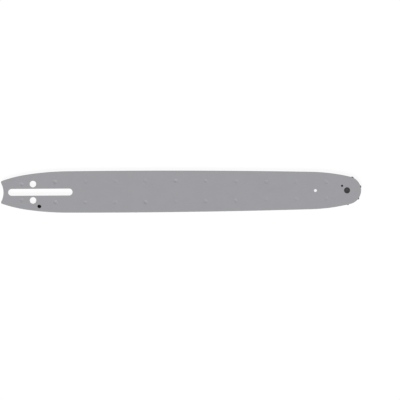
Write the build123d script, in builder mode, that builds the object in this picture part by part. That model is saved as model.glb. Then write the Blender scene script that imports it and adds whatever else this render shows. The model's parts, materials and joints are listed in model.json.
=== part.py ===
from build123d import *

import math
import os

# Laminated chainsaw guide bar with a sprocket nose, lying flat. Millimetres.
# The origin is the centre of the clamp slot on the lower face, X runs to the nose, Z is up.

# Outline of the side plates
bar_width = 53.2
slot_to_nose = 390.2
nose_radius = 17.8
belly_from_slot = 106.0
belly_radius = 10260.0
shoulder_from_nose = 45.6
flank_from_slot = 34.2
flank_radius = 365.0
heel_behind_slot = 18.5
heel_radius = 168.0
tail_wall = 5.9
tail_notch_radius = 24.6
tail_corner_radius = 2.0

# Lamination
plate_thickness = 1.35
core_thickness = 1.35
groove_depth = 6.5
core_tail_setback = 1.2
core_tail_corner = 3.0
rail_chamfer = 0.35

# Clamp slot and holes
slot_length = 82.0
slot_width = 8.7
tensioner_hole_diameter = 8.33
tensioner_hole_behind_slot = 9.4
tensioner_hole_offset = 10.4
oil_hole_diameter = 5.0
oil_hole_behind_slot = 1.3
oil_notch_back = 0.2
oil_notch_out = 0.6
nose_hole_diameter = 3.7
nose_hole_behind_nose = 40.2
grease_hole_diameter = 2.7
grease_hole_angle = 137.0

# Spot-weld marks: a pair beside the slot's end, then columns that follow the rails to the nose
weld_columns = 10
weld_from_slot = 18.8
weld_behind_nose = 26.4
weld_inset = 13.1
nose_weld_inset = 12.1
tail_weld_behind_slot = 23.6
tail_weld_row = 10.0
weld_mark_sides = 6
weld_mark_diameter = 5.0
weld_mark_depth = 0.1

# Nose sprocket, its roller bearing and its rivet
tooth_count = 7
tooth_phase = 15.5
tooth_stand = 0.85
tooth_depth = 6.4
tooth_tip_width = 3.2
tooth_tip_chamfer = 0.5
pocket_clearance = 0.7
horn_round = 0.8
side_clearance = 0.05
roller_diameter = 2.9
roller_pitch_radius = 8.56
roller_gap = 0.05
running_clearance = 0.02
rivet_diameter = 6.0
rivet_head_overhang = 0.93
rivet_cone_angle = 82.0
rivet_fit = 0.02
rivet_sink = 0.03

# Levels of the layers
core_bottom = plate_thickness
core_top = core_bottom + core_thickness
bar_top = core_top + plate_thickness
core_middle = core_bottom + core_thickness / 2

# Sizes that follow from the driving ones
sprocket_tip_radius = nose_radius + tooth_stand
sprocket_root_radius = sprocket_tip_radius - tooth_depth
sprocket_bore_radius = roller_pitch_radius + roller_diameter / 2 + running_clearance
sprocket_thickness = core_thickness - 2 * side_clearance
pocket_radius = sprocket_tip_radius + pocket_clearance
race_radius = roller_pitch_radius - roller_diameter / 2 - running_clearance
roller_pitch_angle = 2 * math.asin((roller_diameter + roller_gap) / (2 * roller_pitch_radius))
roller_count = int(2 * math.pi / roller_pitch_angle)
rivet_radius = rivet_diameter / 2
rivet_head_radius = rivet_radius + rivet_head_overhang
rivet_cone_height = rivet_head_overhang / math.tan(math.radians(rivet_cone_angle / 2))
rivet_hole_radius = rivet_radius + rivet_fit


def on_arc(centre, radius, x):
    """The point of an upper arc at a given X."""
    return Vector(x, centre.Y + math.sqrt(radius**2 - (x - centre.X) ** 2))


def along(start, target, distance):
    """The point at a distance from start on the way to target."""
    return start + (target - start).normalized() * distance


def upper_meeting(centre, radius, other_centre, other_radius):
    """The upper point where two circles cross."""
    gap = other_centre - centre
    reach = (radius**2 - other_radius**2 + gap.length**2) / (2 * gap.length)
    rise = math.sqrt(radius**2 - reach**2)
    ahead = gap.normalized()
    crossings = [
        centre + ahead * reach + Vector(-ahead.Y, ahead.X) * side * rise for side in (1, -1)
    ]
    return max(crossings, key=lambda point: point.Y)


# Arcs of the upper half of the outline, each tangent to the next, from the nose to the tail
nose_centre = Vector(slot_to_nose, 0)
belly_centre = Vector(belly_from_slot, bar_width / 2 - belly_radius)
shoulder_start = on_arc(belly_centre, belly_radius, slot_to_nose - shoulder_from_nose)
inward = (belly_centre - shoulder_start).normalized()
nose_to_shoulder = shoulder_start - nose_centre
shoulder_radius = (nose_radius**2 - nose_to_shoulder.length**2) / (
    2 * (inward.dot(nose_to_shoulder) + nose_radius)
)
shoulder_centre = shoulder_start + inward * shoulder_radius
shoulder_end = along(nose_centre, shoulder_centre, -nose_radius)
flank_start = on_arc(belly_centre, belly_radius, flank_from_slot)
flank_centre = along(flank_start, belly_centre, flank_radius)
heel_start = on_arc(flank_centre, flank_radius, -heel_behind_slot)
heel_centre = along(heel_start, flank_centre, heel_radius)
tail_centre = Vector(-slot_length / 2 - tail_wall - tail_notch_radius, 0)

# The oil holes open on the floor of the groove
oil_hole = on_arc(flank_centre, flank_radius - groove_depth, -oil_hole_behind_slot)


def bar_outline(rail_inset, tail_inset, corner_radius):
    """The bar's outline, moved in from the rails and from the tail."""
    nose_tip = nose_centre + Vector(nose_radius - rail_inset, 0)
    nose_end = along(shoulder_end, nose_centre, rail_inset)
    shoulder_top = along(shoulder_start, belly_centre, rail_inset)
    flank_top = along(flank_start, belly_centre, rail_inset)
    heel_top = along(heel_start, flank_centre, rail_inset)
    notch_radius = tail_notch_radius + tail_inset
    corner = upper_meeting(heel_centre, heel_radius - rail_inset, tail_centre, notch_radius)
    notch_middle = tail_centre + Vector(notch_radius, 0)
    with BuildSketch() as outline:
        with BuildLine():
            RadiusArc(nose_tip, nose_end, rail_inset - nose_radius)
            RadiusArc(nose_end, shoulder_top, rail_inset - shoulder_radius)
            RadiusArc(shoulder_top, flank_top, rail_inset - belly_radius)
            RadiusArc(flank_top, heel_top, rail_inset - flank_radius)
            RadiusArc(heel_top, corner, rail_inset - heel_radius)
            RadiusArc(corner, notch_middle, notch_radius)
            mirror(about=Plane.XZ)
        make_face()
        fillet(outline.vertices().group_by(Axis.X)[0], corner_radius)
    return outline.sketch


def clamp_cutouts():
    """The slot and holes that pass through all three plates."""
    with BuildSketch() as cutouts:
        SlotOverall(slot_length, slot_width)
        with Locations(
            (-tensioner_hole_behind_slot, tensioner_hole_offset),
            (-tensioner_hole_behind_slot, -tensioner_hole_offset),
        ):
            Circle(tensioner_hole_diameter / 2)
        with Locations((slot_to_nose - nose_hole_behind_nose, 0)):
            Circle(nose_hole_diameter / 2)
    return cutouts.sketch


def rail_height(x):
    """Distance of the rails from the midline at a given X, short of the nose."""
    if x < heel_start.X:
        return on_arc(heel_centre, heel_radius, x).Y
    if x < flank_start.X:
        return on_arc(flank_centre, flank_radius, x).Y
    if x < shoulder_start.X:
        return on_arc(belly_centre, belly_radius, x).Y
    return on_arc(shoulder_centre, shoulder_radius, x).Y


weld_pitch = (slot_to_nose - weld_behind_nose - weld_from_slot) / (weld_columns - 1)
weld_places = [weld_from_slot + column * weld_pitch for column in range(weld_columns)]
weld_rows = [(-tail_weld_behind_slot, tail_weld_row)]
weld_rows += [(x, rail_height(x) - weld_inset) for x in weld_places[:-1]]
weld_rows.append((weld_places[-1], rail_height(weld_places[-1]) - nose_weld_inset))
weld_points = [(x, side * row) for x, row in weld_rows for side in (-1, 1)]


def side_plate(inner_face):
    """One side plate on its inner face. Both are the same stamping, turned over."""
    outer_face = inner_face.offset(plate_thickness)
    outward = Axis(inner_face.origin, inner_face.z_dir)
    with BuildPart() as plate:
        with BuildSketch(inner_face):
            add(bar_outline(0, 0, tail_corner_radius))
            add(clamp_cutouts(), mode=Mode.SUBTRACT)
            with Locations((-oil_hole_behind_slot, -oil_hole.Y)):
                Circle(oil_hole_diameter / 2, mode=Mode.SUBTRACT)
            with Locations(nose_centre):
                with PolarLocations(roller_pitch_radius, 1, start_angle=grease_hole_angle):
                    Circle(grease_hole_diameter / 2, mode=Mode.SUBTRACT)
        extrude(amount=plate_thickness)
        chamfer(plate.faces().sort_by(outward)[-1].outer_wire().edges(), rail_chamfer)
        with Locations(outer_face):
            with Locations(nose_centre):
                CounterSinkHole(
                    rivet_hole_radius,
                    rivet_head_radius + rivet_fit,
                    counter_sink_angle=rivet_cone_angle,
                )
        with BuildSketch(outer_face):
            with Locations(*weld_points):
                RegularPolygon(weld_mark_diameter / 2, weld_mark_sides)
        extrude(amount=-weld_mark_depth, mode=Mode.SUBTRACT)
    return plate


os.makedirs("parts", exist_ok=True)

# Side plates, which carry the rails
upper_side_plate = side_plate(Plane.XY.offset(core_top))
upper_side_plate.part.label = "upper_side_plate"
export_step(upper_side_plate.part, "parts/upper_side_plate.step")

lower_side_plate = side_plate(Plane((0, 0, core_bottom), x_dir=(1, 0, 0), z_dir=(0, 0, -1)))
lower_side_plate.part.label = "lower_side_plate"
export_step(lower_side_plate.part, "parts/lower_side_plate.step")

# Core plate, set back to leave the chain groove and pocketed for the sprocket
with BuildPart() as core_plate:
    with BuildSketch(Plane.XY.offset(core_bottom)) as core_face:
        add(bar_outline(groove_depth, core_tail_setback, core_tail_corner))
        with Locations(nose_centre):
            Circle(pocket_radius, mode=Mode.SUBTRACT)
        fillet(core_face.vertices().group_by(Axis.X)[-1], horn_round)
        add(clamp_cutouts(), mode=Mode.SUBTRACT)
        with Locations(
            (-oil_hole_behind_slot - oil_notch_back, oil_hole.Y + oil_notch_out),
            (-oil_hole_behind_slot - oil_notch_back, -oil_hole.Y - oil_notch_out),
        ):
            Circle(oil_hole_diameter / 2, mode=Mode.SUBTRACT)
    extrude(amount=core_thickness)
core_plate.part.label = "core_plate"
export_step(core_plate.part, "parts/core_plate.step")

# Nose sprocket: a disc with a round gullet between each two teeth
gullet_half_angle = math.pi / tooth_count - tooth_tip_width / (2 * sprocket_tip_radius)
gullet_edge_x = sprocket_tip_radius * math.cos(gullet_half_angle)
gullet_centre_radius = (sprocket_tip_radius**2 - sprocket_root_radius**2) / (
    2 * (gullet_edge_x - sprocket_root_radius)
)
gullet_phase = tooth_phase + 180 / tooth_count
with BuildPart() as nose_sprocket:
    with BuildSketch(Plane.XY.offset(core_middle)) as star:
        with Locations(nose_centre):
            Circle(sprocket_tip_radius)
            with PolarLocations(gullet_centre_radius, tooth_count, start_angle=gullet_phase):
                Circle(gullet_centre_radius - sprocket_root_radius, mode=Mode.SUBTRACT)
        chamfer(star.vertices(), tooth_tip_chamfer)
        with Locations(nose_centre):
            Circle(sprocket_bore_radius, mode=Mode.SUBTRACT)
    extrude(amount=sprocket_thickness / 2, both=True)
nose_sprocket.part.label = "nose_sprocket"
export_step(nose_sprocket.part, "parts/nose_sprocket.step")

# Inner race, clamped between the side plates
with BuildPart() as inner_race:
    with BuildSketch(Plane.XY.offset(core_bottom)):
        with Locations(nose_centre):
            Circle(race_radius)
            Circle(rivet_hole_radius, mode=Mode.SUBTRACT)
    extrude(amount=core_thickness)
inner_race.part.label = "inner_race"
export_step(inner_race.part, "parts/inner_race.step")

# Rollers, side by side round the race
for index in range(roller_count):
    with BuildPart() as bearing_roller:
        with BuildSketch(Plane.XY.offset(core_middle)):
            with Locations(nose_centre):
                with PolarLocations(roller_pitch_radius, 1, start_angle=index * 360 / roller_count):
                    Circle(roller_diameter / 2)
        extrude(amount=sprocket_thickness / 2, both=True)
    name = f"bearing_roller_{index + 1:02d}"
    bearing_roller.part.label = name
    export_step(bearing_roller.part, f"parts/{name}.step")

# Nose rivet, with a countersunk head at each end
rivet_half_length = bar_top / 2 - rivet_sink
rivet_face_radius = rivet_head_radius - rivet_sink * rivet_head_overhang / rivet_cone_height
rivet_axis = Axis(nose_centre + Vector(0, 0, bar_top / 2), (0, 0, 1))
with BuildPart() as nose_rivet:
    with BuildSketch(Plane((slot_to_nose, 0, bar_top / 2), x_dir=(1, 0, 0), z_dir=(0, -1, 0))):
        with BuildLine():
            Polyline(
                (0, 0),
                (rivet_radius, 0),
                (rivet_radius, bar_top / 2 - rivet_cone_height),
                (rivet_face_radius, rivet_half_length),
                (0, rivet_half_length),
                close=True,
            )
        make_face()
        mirror(about=Plane.XZ)
    revolve(axis=rivet_axis)
nose_rivet.part.label = "nose_rivet"
export_step(nose_rivet.part, "parts/nose_rivet.step")
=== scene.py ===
import json
import math
import random

import bmesh
import bpy
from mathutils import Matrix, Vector
from mathutils.geometry import delaunay_2d_cdt

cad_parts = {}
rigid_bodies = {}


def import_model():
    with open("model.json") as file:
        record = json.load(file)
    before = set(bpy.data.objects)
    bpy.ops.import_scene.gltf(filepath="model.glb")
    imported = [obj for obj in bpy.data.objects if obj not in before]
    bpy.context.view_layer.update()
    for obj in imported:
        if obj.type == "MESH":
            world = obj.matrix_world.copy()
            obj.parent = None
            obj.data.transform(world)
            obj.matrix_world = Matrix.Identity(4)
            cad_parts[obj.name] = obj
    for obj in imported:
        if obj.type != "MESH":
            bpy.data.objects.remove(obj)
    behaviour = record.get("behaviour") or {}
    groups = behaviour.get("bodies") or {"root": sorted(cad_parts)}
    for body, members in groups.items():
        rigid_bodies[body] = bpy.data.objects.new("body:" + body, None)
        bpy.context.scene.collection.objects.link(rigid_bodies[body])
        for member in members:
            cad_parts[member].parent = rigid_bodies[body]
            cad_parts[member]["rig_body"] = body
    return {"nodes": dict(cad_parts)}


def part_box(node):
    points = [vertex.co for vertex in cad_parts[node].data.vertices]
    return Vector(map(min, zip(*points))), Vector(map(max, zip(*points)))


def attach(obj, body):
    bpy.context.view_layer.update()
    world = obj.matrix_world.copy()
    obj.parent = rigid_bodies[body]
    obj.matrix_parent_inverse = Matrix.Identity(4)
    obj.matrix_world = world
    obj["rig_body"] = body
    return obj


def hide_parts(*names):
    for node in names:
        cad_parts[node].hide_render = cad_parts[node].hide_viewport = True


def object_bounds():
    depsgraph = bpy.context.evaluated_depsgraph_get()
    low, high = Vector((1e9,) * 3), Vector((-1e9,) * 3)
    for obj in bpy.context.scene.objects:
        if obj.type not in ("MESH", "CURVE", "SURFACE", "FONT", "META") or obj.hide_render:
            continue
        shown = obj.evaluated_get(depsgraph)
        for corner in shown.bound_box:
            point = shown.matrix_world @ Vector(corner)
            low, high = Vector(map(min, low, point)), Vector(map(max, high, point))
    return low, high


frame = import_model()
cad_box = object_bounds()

# A laminated chainsaw guide bar with a sprocket nose, lying flat on a white floor.
# The bar's sizes are in millimetres, as its solids were drawn, and its meshes are scaled to metres last.
MM_PER_METRE = 1000.0

# How closely points meet, and how finely outlines are divided
SAME_POINT = 0.001
LEVEL_FACE = 0.99
LARGEST_TURN = math.radians(3.0)
LONGEST_STEP = 6.0
ROUND_STEPS = 3

# How a flat face is filled: only inside its loops, with points this close taken as one
INSIDE_LOOPS = 1
MERGE_DISTANCE = SAME_POINT / 10

# Broken edges and sloped rims
EDGE_RUN = 1.0
PLATE_EDGE = 0.08
CORE_EDGE = 0.05
SPROCKET_EDGE = 0.16
ROLLER_EDGE = 0.2
LEAST_INSET = 0.02
CHAMFER_SLOPE = math.radians(45.0)
RIVET_SLOPE = math.radians(41.0)

# Spot-weld dimples
DIMPLE_RADIUS = 3.0
DIMPLE_DEPTH = 0.32
DIMPLE_VARIATION = 0.65
DIMPLE_SEED = 123926
DIMPLE_SEGMENTS = 40
BOWL_RINGS = 8

# Nose rivet
RIVET_SEGMENTS = 72
RIVET_EDGE = 0.12
RIVET_DISH_RADIUS = 2.3
RIVET_DISH_DEPTH = 0.22

# Material slots of a piece: its faces, the walls of its outline and its inner face
FACE, RAIL, INSIDE = range(3)

# Colours, linear
PAINT = (0.312, 0.312, 0.330)
GROUND_STEEL = (0.46, 0.46, 0.47)
# Near black: partly the mill scale of unpainted inner steel, partly painted shade for faces seen only
# through the holes and down the groove
SCALE_AND_PAINTED_SHADE = (0.010, 0.010, 0.011)
TOOTH_STEEL = (0.016, 0.016, 0.017)
RIVET_STEEL = (0.046, 0.045, 0.049)
GREASED_STEEL = (0.014, 0.013, 0.012)
WHITE = (1.0, 1.0, 1.0)

# Range that most of a noise lies in
NOISE_LOW = 0.3
NOISE_HIGH = 0.7

# View, in metres: straight down, with the nose turned a little up the picture
VIEW_WIDTH = 0.5088
VIEW_CENTRE = (0.20306, -0.01114)
VIEW_ROLL = math.radians(-0.346)
LENS_MM = 500.0
SENSOR_MM = 36.0

# Light: a white room and one large soft lamp from the lower left of the picture
ROOM_LIGHT = 0.5
LAMP_LIGHT = 2.74
LAMP_HEIGHT = math.radians(35.0)
LAMP_BEARING = math.radians(248.0)
LAMP_SPREAD = math.radians(30.0)

# Floor, in metres
FLOOR_SIZE = 16.0
FLOOR_SHADE = 0.12
FLOOR_GLOW = 0.90
FLOOR_BOUNCE = 0.80

# The nose axis and the bar's middle level, from the rivet
rivet_low, rivet_high = (corner * MM_PER_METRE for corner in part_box("nose_rivet"))
nose_axis = (rivet_low + rivet_high).xy / 2
middle_level = (rivet_low.z + rivet_high.z) / 2


# Outlines, read from the solids


def key_of(point):
    """A point's place as a key, the same for points that meet."""
    return round(point.x / SAME_POINT), round(point.y / SAME_POINT)


def meeting_key(point, keys):
    """The key that a point meets, also where rounding puts the two one step apart, or None."""
    x, y = key_of(point)
    near = [(x + step_x, y + step_y) for step_x in (0, -1, 1) for step_y in (0, -1, 1)]
    return next((key for key in near if key in keys), None)


def face_loops(node, level):
    """Closed loops round a node's flat face at a level, walked with the solid on the left."""
    mesh = frame["nodes"][node].data
    following = {}
    for polygon in mesh.polygons:
        if abs(polygon.normal.z) > LEVEL_FACE:
            continue
        corners = [mesh.vertices[index].co * MM_PER_METRE for index in polygon.vertices]
        ends = [corner.xy for corner in corners if abs(corner.z - level) < SAME_POINT]
        if len(ends) == 2:
            ahead = Vector((-polygon.normal.y, polygon.normal.x))
            start, end = sorted(ends, key=ahead.dot)
            following[key_of(start)] = end
    loops = []
    while following:
        loop = [following.popitem()[1]]
        while key := meeting_key(loop[-1], following):
            loop.append(following.pop(key))
        loops.append(loop)
    return loops


def extent(loop):
    """Middle of a loop's box, and half of its length along X."""
    low = Vector((min(point.x for point in loop), min(point.y for point in loop)))
    high = Vector((max(point.x for point in loop), max(point.y for point in loop)))
    return (low + high) / 2, (high.x - low.x) / 2


def closest_loop(loop, others):
    """The one of other loops that is most like a loop in place and length."""
    centre, reach = extent(loop)

    def difference(other):
        other_centre, other_reach = extent(other)
        return (other_centre - centre).length + abs(other_reach - reach)

    return min(others, key=difference)


def turn_between(first, second):
    """Signed angle from one direction to the next, positive to the left."""
    return math.atan2(first.x * second.y - first.y * second.x, first.dot(second))


def arc_points(start, chord, bend):
    """Points of an arc over a chord, both ends among them, each with its direction out of the solid."""
    ahead = chord.normalized()
    right = Vector((ahead.y, -ahead.x))
    pieces = max(math.ceil(abs(bend) / LARGEST_TURN), math.ceil(chord.length / LONGEST_STEP))
    points = []
    for piece in range(pieces + 1):
        share = piece / pieces
        heading = bend * (share - 0.5)
        run, rise = chord.length * share, 0.0
        if bend:
            radius = chord.length / (2 * math.sin(bend / 2))
            run = radius * (math.sin(heading) + math.sin(bend / 2))
            rise = radius * (math.cos(bend / 2) - math.cos(heading))
        outward = right * math.cos(heading) + ahead * math.sin(heading)
        points.append((start + ahead * run - right * rise, outward))
    return points


def fine_rim(loop):
    """Finer points on the arcs of a loop, each with its direction out of the solid.

    The chords of one arc are equally long, so an equal neighbour gives a chord's bend."""
    count = len(loop)
    chords = [loop[(index + 1) % count] - loop[index] for index in range(count)]
    arcs = []
    for index, chord in enumerate(chords):
        before, after = chords[index - 1], chords[(index + 1) % count]
        bend = 0.0
        if abs(before.length - chord.length) < SAME_POINT:
            bend = turn_between(before, chord)
        elif abs(after.length - chord.length) < SAME_POINT:
            bend = turn_between(chord, after)
        arcs.append(arc_points(loop[index], chord, bend))
    rim = []
    for index, arc in enumerate(arcs):
        point, outward = arc[0]
        half_way = (outward + arcs[index - 1][-1][1]).normalized()
        rim.append((point, half_way / half_way.dot(outward)))
        rim += arc[1:-1]
    return rim


# Meshes


def rounded_line(corners, setback):
    """A line through corners, with each inner corner rounded. The end corners only give it direction."""
    line = []
    for before, corner, after in zip(corners, corners[1:], corners[2:]):
        start = corner + (before - corner).normalized() * setback
        end = corner + (after - corner).normalized() * setback
        for step in range(ROUND_STEPS + 1):
            share = step / ROUND_STEPS
            line.append(start.lerp(corner, share).lerp(corner.lerp(end, share), share))
    return line


def join_rings(shell, lower, upper, finish):
    """A strip of faces between two rings of vertices."""
    for index in range(len(lower)):
        strip = shell.faces.new((lower[index - 1], lower[index], upper[index], upper[index - 1]))
        strip.material_index = finish
        strip.smooth = True


def close_ring(shell, ring, tip, finish):
    """A fan of faces from a ring to its middle."""
    middle = shell.verts.new(tip)
    for index in range(len(ring)):
        part = shell.faces.new((ring[index - 1], ring[index], middle))
        part.material_index = finish
        part.smooth = True


def fill_face(shell, rings, finish):
    """A flat face inside the first ring and outside the others, which all have it on their left."""
    turned = [rings[0], *(ring[::-1] for ring in rings[1:])]
    corners = [corner for ring in turned for corner in ring]
    places = [corner.co.xy for corner in corners]
    order = iter(range(len(corners)))
    loops = [[next(order) for corner in ring] for ring in turned]
    found = delaunay_2d_cdt(places, [], loops, INSIDE_LOOPS, MERGE_DISTANCE, True)
    triangles, sources, owners = found[2], found[3], found[5]
    for triangle, inside in zip(triangles, owners):
        if inside == [0]:
            face = shell.faces.new([corners[sources[index][0]] for index in triangle])
            face.material_index = finish


def add_circle(shell, centre, radius, segments, level):
    """A ring of vertices on a level circle."""
    ring = []
    for index in range(segments):
        angle = 2 * math.pi * index / segments
        across = Vector((math.cos(angle), math.sin(angle))) * radius
        ring.append(shell.verts.new((*(centre + across), level)))
    return ring


def bowl(radius, depth):
    """Radius and depth of each ring of a soft-edged bowl, from its edge inward."""
    shares = [1 - ring / BOWL_RINGS for ring in range(BOWL_RINGS)]
    return [(radius * share, depth * (1 - share**2) ** 2) for share in shares]


def make_piece(shell, name, materials):
    """An object in metres from a shell in millimetres, with its walls shaded evenly."""
    bmesh.ops.recalc_face_normals(shell, faces=shell.faces)
    bmesh.ops.scale(shell, vec=(1 / MM_PER_METRE,) * 3, verts=shell.verts)
    mesh = bpy.data.meshes.new(name)
    shell.to_mesh(mesh)
    shell.free()
    for material in materials:
        mesh.materials.append(material)
    piece = bpy.data.objects.new(name, mesh)
    bpy.context.scene.collection.objects.link(piece)
    piece.modifiers.new("even_walls", "WEIGHTED_NORMAL").keep_sharp = True
    return piece


def stand_for(node, piece):
    """Puts a piece in the place of a solid, on the solid's body."""
    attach(piece, frame["nodes"][node]["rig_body"])
    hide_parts(node)


# Pieces


def add_dimple(shell, centre, level, drop):
    """A round weld dimple sunk in a face by a signed drop. Its edge is returned for the face to meet."""
    rings = [
        add_circle(shell, centre, radius, DIMPLE_SEGMENTS, level - depth)
        for radius, depth in bowl(DIMPLE_RADIUS, drop)
    ]
    for outer, inner in zip(rings, rings[1:]):
        join_rings(shell, outer, inner, FACE)
    close_ring(shell, rings[-1], (*centre, level - drop), FACE)
    return rings[0][::-1]


def rim_section(thickness, inset, slope):
    """Corners of a wall's section, as insets and heights, with a slope where the outer face is inset."""
    corners = [(EDGE_RUN, 0), (0, 0), (0, thickness), (EDGE_RUN, thickness)]
    if inset > LEAST_INSET:
        slope_start = thickness - inset / math.tan(slope)
        corners[2:] = [(0, slope_start), (inset, thickness), (inset + EDGE_RUN, thickness)]
    return [Vector(corner) for corner in corners]


def add_rim(shell, loop, section, edge, inner, outward, wall):
    """The walls round one loop, on a section with broken edges. Both end rings are returned."""
    line = rounded_line(section, edge)
    rim = fine_rim(loop)
    rings = [
        [
            shell.verts.new((*(point - out * inset), inner + outward * height))
            for point, out in rim
        ]
        for inset, height in line
    ]
    for index in range(len(rings) - 1):
        upright = max(line[index].x, line[index + 1].x) < LEAST_INSET
        join_rings(shell, rings[index], rings[index + 1], wall if upright else FACE)
    return rings[0], rings[-1]


def flat_piece(node, inner, outer, edge, materials):
    """A flat solid rebuilt with smooth arcs and broken edges, between the levels of its two faces.

    Each loop of the inner face has a partner in the outer one, inset where the rim has a chamfer or a
    countersink. The other loops of the outer face are weld marks, and become round dimples."""
    outward = math.copysign(1, outer - inner)
    thickness = abs(outer - inner)
    loops = sorted(face_loops(node, inner), key=lambda loop: extent(loop)[1], reverse=True)
    outline = loops[0]
    marks = face_loops(node, outer)
    shell = bmesh.new()
    inner_rings, outer_rings = [], []
    for loop in loops:
        partner = closest_loop(loop, marks)
        marks.remove(partner)
        inset = abs(extent(partner)[1] - extent(loop)[1])
        slope, wall = (CHAMFER_SLOPE, RAIL) if loop is outline else (RIVET_SLOPE, FACE)
        section = rim_section(thickness, inset, slope)
        first, last = add_rim(shell, loop, section, edge, inner, outward, wall)
        inner_rings.append(first)
        outer_rings.append(last)
    chance = random.Random(DIMPLE_SEED)
    for centre in sorted((extent(mark)[0] for mark in marks), key=key_of):
        depth = DIMPLE_DEPTH * (1 + DIMPLE_VARIATION * chance.uniform(-1, 1))
        outer_rings.append(add_dimple(shell, centre, outer, outward * depth))
    fill_face(shell, inner_rings, INSIDE)
    fill_face(shell, outer_rings, FACE)
    return make_piece(shell, "dressed_" + node, materials)


def nose_rivet(material):
    """The rivet, with a countersunk head at each end, dished where it was set."""
    face_radius = (rivet_high.x - rivet_low.x) / 2
    half_length = (rivet_high.z - rivet_low.z) / 2
    points = [vertex.co * MM_PER_METRE for vertex in frame["nodes"]["nose_rivet"].data.vertices]
    shank = [point for point in points if abs(point.z - middle_level) < half_length - SAME_POINT]
    shank_radius = min((point.xy - nose_axis).length for point in shank)
    cone_start = half_length - (face_radius - shank_radius) / math.tan(RIVET_SLOPE)
    corners = [
        (shank_radius, 0),
        (shank_radius, cone_start),
        (face_radius, half_length),
        (RIVET_DISH_RADIUS, half_length),
    ]
    rounded = rounded_line([Vector(corner) for corner in corners], RIVET_EDGE)
    half_line = [(point.x, point.y) for point in rounded]
    dish = bowl(RIVET_DISH_RADIUS, RIVET_DISH_DEPTH)
    half_line += [(radius, half_length - depth) for radius, depth in dish]
    line = [(radius, -height) for radius, height in reversed(half_line)] + half_line
    shell = bmesh.new()
    rings = [
        add_circle(shell, nose_axis, radius, RIVET_SEGMENTS, middle_level + height)
        for radius, height in line
    ]
    for lower, upper in zip(rings, rings[1:]):
        join_rings(shell, lower, upper, FACE)
    tip = half_length - RIVET_DISH_DEPTH
    close_ring(shell, rings[0], (*nose_axis, middle_level - tip), FACE)
    close_ring(shell, rings[-1], (*nose_axis, middle_level + tip), FACE)
    return make_piece(shell, "dressed_nose_rivet", [material])


# Materials


def new_material(name):
    """A material, its node tree and its surface shader."""
    material = bpy.data.materials.new(name)
    material.use_nodes = True
    tree = material.node_tree
    return material, tree, tree.nodes["Principled BSDF"]


def grain(tree, scale, detail=2.0):
    """Noise in the piece's own coordinates, with so many features a metre along X, Y and Z."""
    place = tree.nodes.new("ShaderNodeTexCoord")
    stretch = tree.nodes.new("ShaderNodeVectorMath")
    stretch.operation = "MULTIPLY"
    stretch.inputs[1].default_value = scale
    noise = tree.nodes.new("ShaderNodeTexNoise")
    noise.inputs["Scale"].default_value = 1.0
    noise.inputs["Detail"].default_value = detail
    tree.links.new(place.outputs["Object"], stretch.inputs[0])
    tree.links.new(stretch.outputs["Vector"], noise.inputs["Vector"])
    return noise.outputs[0]


def mixed(tree, first, second, share):
    """Two noises in one, with the share of the second. Sockets 0, 2 and 3 take plain numbers."""
    mix = tree.nodes.new("ShaderNodeMix")
    mix.inputs[0].default_value = share
    tree.links.new(first, mix.inputs[2])
    tree.links.new(second, mix.inputs[3])
    return mix.outputs[0]


def shades(tree, source, colour, spread):
    """A colour that noise makes a little darker and lighter."""
    ramp = tree.nodes.new("ShaderNodeValToRGB")
    dark, light = ramp.color_ramp.elements
    dark.position, light.position = NOISE_LOW, NOISE_HIGH
    dark.color = (*(channel * (1 - spread) for channel in colour), 1)
    light.color = (*(channel * (1 + spread) for channel in colour), 1)
    tree.links.new(source, ramp.inputs[0])
    return ramp.outputs["Color"]


def levels(tree, source, low, high):
    """Noise as a number in a range."""
    span = tree.nodes.new("ShaderNodeMapRange")
    span.inputs["From Min"].default_value = NOISE_LOW
    span.inputs["From Max"].default_value = NOISE_HIGH
    span.inputs["To Min"].default_value = low
    span.inputs["To Max"].default_value = high
    tree.links.new(source, span.inputs["Value"])
    return span.outputs["Result"]


def relief(tree, source, height):
    """A surface raised by noise, by a height in metres."""
    bump = tree.nodes.new("ShaderNodeBump")
    bump.inputs["Distance"].default_value = height
    tree.links.new(source, bump.inputs["Height"])
    return bump.outputs["Normal"]


def dress_surface(name, metallic, gloss, colour, roughness, bump):
    """A material from one function each for its colour, roughness and relief."""
    material, tree, surface = new_material(name)
    surface.inputs["Metallic"].default_value = metallic
    surface.inputs["Specular IOR Level"].default_value = gloss
    tree.links.new(colour(tree), surface.inputs["Base Color"])
    tree.links.new(roughness(tree), surface.inputs["Roughness"])
    tree.links.new(bump(tree), surface.inputs["Normal"])
    return material


def satin_paint():
    """Sprayed satin paint: even, with a soft mottle, a fine peel and faint rolling lines of the sheet."""
    def tone(tree):
        return mixed(tree, grain(tree, (70, 70, 70)), grain(tree, (25, 1300, 1300)), share=0.4)

    return dress_surface(
        "satin_paint",
        metallic=0.0,
        gloss=0.5,
        colour=lambda tree: shades(tree, tone(tree), PAINT, spread=0.02),
        roughness=lambda tree: levels(tree, grain(tree, (500, 500, 500)), low=0.38, high=0.48),
        bump=lambda tree: relief(tree, grain(tree, (1100, 1100, 1100)), height=6e-6),
    )


def ground_steel():
    """Bare rail edges with grinding lines along them."""
    def lines(tree):
        return mixed(tree, grain(tree, (60, 60, 5200)), grain(tree, (400, 400, 400)), share=0.25)

    return dress_surface(
        "ground_steel",
        metallic=1.0,
        gloss=0.5,
        colour=lambda tree: shades(tree, lines(tree), GROUND_STEEL, spread=0.2),
        roughness=lambda tree: levels(tree, lines(tree), low=0.28, high=0.44),
        bump=lambda tree: relief(tree, lines(tree), height=3e-6),
    )


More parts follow.
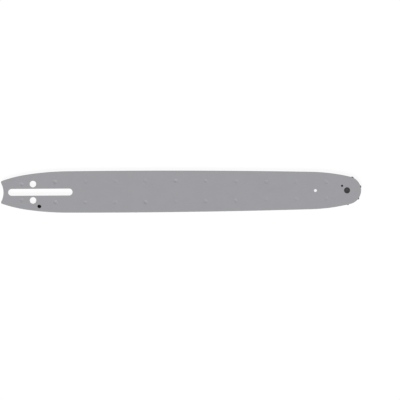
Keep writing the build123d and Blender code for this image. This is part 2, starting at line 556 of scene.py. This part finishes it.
def scale_and_painted_shade():
    """Unpainted inner faces and the groove floor: mill scale, made near black as painted shade so that
    they read black through the holes and down the groove.
    """
    return dress_surface(
        "scale_and_painted_shade",
        metallic=0.0,
        gloss=0.12,
        colour=lambda tree: shades(
            tree, grain(tree, (300, 300, 300), detail=5.0), SCALE_AND_PAINTED_SHADE, spread=0.35
        ),
        roughness=lambda tree: levels(tree, grain(tree, (700, 700, 700)), low=0.55, high=0.75),
        bump=lambda tree: relief(tree, grain(tree, (1500, 1500, 1500)), height=8e-6),
    )


def tooth_steel():
    """Hardened sprocket steel, near black, with a fine stamped grain."""
    return dress_surface(
        "tooth_steel",
        metallic=1.0,
        gloss=0.5,
        colour=lambda tree: shades(
            tree, grain(tree, (500, 500, 500), detail=4.0), TOOTH_STEEL, spread=0.3
        ),
        roughness=lambda tree: levels(tree, grain(tree, (900, 900, 900)), low=0.38, high=0.55),
        bump=lambda tree: relief(tree, grain(tree, (2600, 2600, 400)), height=5e-6),
    )


def rivet_steel():
    """Dark rivet steel with the marks of setting."""
    return dress_surface(
        "rivet_steel",
        metallic=1.0,
        gloss=0.5,
        colour=lambda tree: shades(
            tree, grain(tree, (420, 420, 420), detail=4.0), RIVET_STEEL, spread=0.35
        ),
        roughness=lambda tree: levels(tree, grain(tree, (800, 800, 800)), low=0.40, high=0.58),
        bump=lambda tree: relief(tree, grain(tree, (1800, 1800, 1800)), height=1e-5),
    )


def greased_steel():
    """Bearing steel under a dark film of grease."""
    return dress_surface(
        "greased_steel",
        metallic=0.0,
        gloss=0.12,
        colour=lambda tree: shades(
            tree, grain(tree, (350, 350, 350), detail=3.0), GREASED_STEEL, spread=0.4
        ),
        roughness=lambda tree: levels(tree, grain(tree, (250, 250, 250)), low=0.18, high=0.34),
        bump=lambda tree: relief(tree, grain(tree, (450, 450, 450)), height=1e-5),
    )


# Stage


def seen_ray(tree):
    """One for rays from the camera, a reflection or glass, and zero for the rest."""
    path = tree.nodes.new("ShaderNodeLightPath")
    total = path.outputs["Is Camera Ray"]
    for kind in ("Is Glossy Ray", "Is Transmission Ray"):
        add = tree.nodes.new("ShaderNodeMath")
        add.use_clamp = True
        tree.links.new(total, add.inputs[0])
        tree.links.new(path.outputs[kind], add.inputs[1])
        total = add.outputs[0]
    return total


def split_by_ray(tree, unseen, seen, output):
    """One shader for the light in the room and another for what is seen."""
    choice = tree.nodes.new("ShaderNodeMixShader")
    tree.links.new(seen_ray(tree), choice.inputs[0])
    tree.links.new(unseen, choice.inputs[1])
    tree.links.new(seen, choice.inputs[2])
    tree.links.new(choice.outputs[0], output)


def shader(tree, kind, colour, strength=None):
    """A plain shader node's output."""
    node = tree.nodes.new(kind)
    node.inputs["Color"].default_value = (*colour, 1)
    if strength is not None:
        node.inputs["Strength"].default_value = strength
    return node.outputs[0]


def white_room():
    """A white room that lights the bar evenly."""
    world = bpy.data.worlds.new("white_room")
    world.use_nodes = True
    tree = world.node_tree
    tree.nodes.clear()
    output = tree.nodes.new("ShaderNodeOutputWorld").inputs["Surface"]
    light = shader(tree, "ShaderNodeBackground", WHITE, ROOM_LIGHT)
    look = shader(tree, "ShaderNodeBackground", WHITE, 1.0)
    split_by_ray(tree, light, look, output)
    bpy.context.scene.world = world


def white_floor():
    """A white floor that keeps the bar's soft shadow."""
    material = bpy.data.materials.new("white_floor")
    material.use_nodes = True
    tree = material.node_tree
    tree.nodes.clear()
    output = tree.nodes.new("ShaderNodeOutputMaterial").inputs["Surface"]
    bounce = shader(tree, "ShaderNodeBsdfDiffuse", (FLOOR_BOUNCE,) * 3)
    shade = shader(tree, "ShaderNodeBsdfDiffuse", (FLOOR_SHADE,) * 3)
    glow = shader(tree, "ShaderNodeEmission", WHITE, FLOOR_GLOW)
    look = tree.nodes.new("ShaderNodeAddShader")
    tree.links.new(shade, look.inputs[0])
    tree.links.new(glow, look.inputs[1])
    split_by_ray(tree, bounce, look.outputs[0], output)
    half = FLOOR_SIZE / 2
    mesh = bpy.data.meshes.new("floor")
    square = ((-half, -half), (half, -half), (half, half), (-half, half))
    corners = [(x, y, cad_box[0].z) for x, y in square]
    mesh.from_pydata(corners, [], [range(len(corners))])
    mesh.materials.append(material)
    floor = bpy.data.objects.new("floor", mesh)
    bpy.context.scene.collection.objects.link(floor)


def soft_lamp():
    """One large lamp, far off and low enough to model the weld dimples."""
    lamp = bpy.data.lights.new("soft_lamp", "SUN")
    lamp.energy = LAMP_LIGHT
    lamp.angle = LAMP_SPREAD
    stand = bpy.data.objects.new("soft_lamp", lamp)
    towards = Vector((
        math.cos(LAMP_BEARING) * math.cos(LAMP_HEIGHT),
        math.sin(LAMP_BEARING) * math.cos(LAMP_HEIGHT),
        math.sin(LAMP_HEIGHT),
    ))
    stand.location = towards
    stand.rotation_euler = towards.to_track_quat("Z", "Y").to_euler()
    bpy.context.scene.collection.objects.link(stand)


def camera_above():
    """A long lens straight above, framed on the bar's upper face."""
    lens = bpy.data.cameras.new("camera")
    lens.lens = LENS_MM
    lens.sensor_width = SENSOR_MM
    camera = bpy.data.objects.new("camera", lens)
    distance = VIEW_WIDTH * LENS_MM / SENSOR_MM
    camera.location = (*VIEW_CENTRE, cad_box[1].z + distance)
    camera.rotation_euler = (0, 0, VIEW_ROLL)
    bpy.context.scene.collection.objects.link(camera)
    bpy.context.scene.camera = camera


# The bar

paint, rail, scale = satin_paint(), ground_steel(), scale_and_painted_shade()
tooth, rivet, grease = tooth_steel(), rivet_steel(), greased_steel()

rollers = sorted(node for node in frame["nodes"] if node.startswith("bearing_roller"))
# scale is near-black mill scale with painted shade, on the plates' inner faces and the core's groove
# floor
flat_solids = [
    ("upper_side_plate", PLATE_EDGE, (paint, rail, scale), "satin_grey_paint"),
    ("lower_side_plate", PLATE_EDGE, (paint, rail, scale), "satin_grey_paint"),
    ("core_plate", CORE_EDGE, (paint, scale, paint), "core_steel"),
    ("nose_sprocket", SPROCKET_EDGE, (tooth, tooth, tooth), "sprocket_steel"),
    ("inner_race", CORE_EDGE, (grease, grease, grease), "bearing_steel"),
    *((roller, ROLLER_EDGE, (grease, grease, grease), "bearing_steel") for roller in rollers),
]
for node, edge, materials, slot in flat_solids:
    low, high = (corner.z * MM_PER_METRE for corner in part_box(node))
    inner, outer = (high, low) if high < middle_level else (low, high)
    stand_for(node, flat_piece(node, inner, outer, edge, materials))
stand_for("nose_rivet", nose_rivet(rivet))

# The stage

white_room()
white_floor()
soft_lamp()
camera_above()
bpy.context.scene.view_settings.view_transform = "Standard"
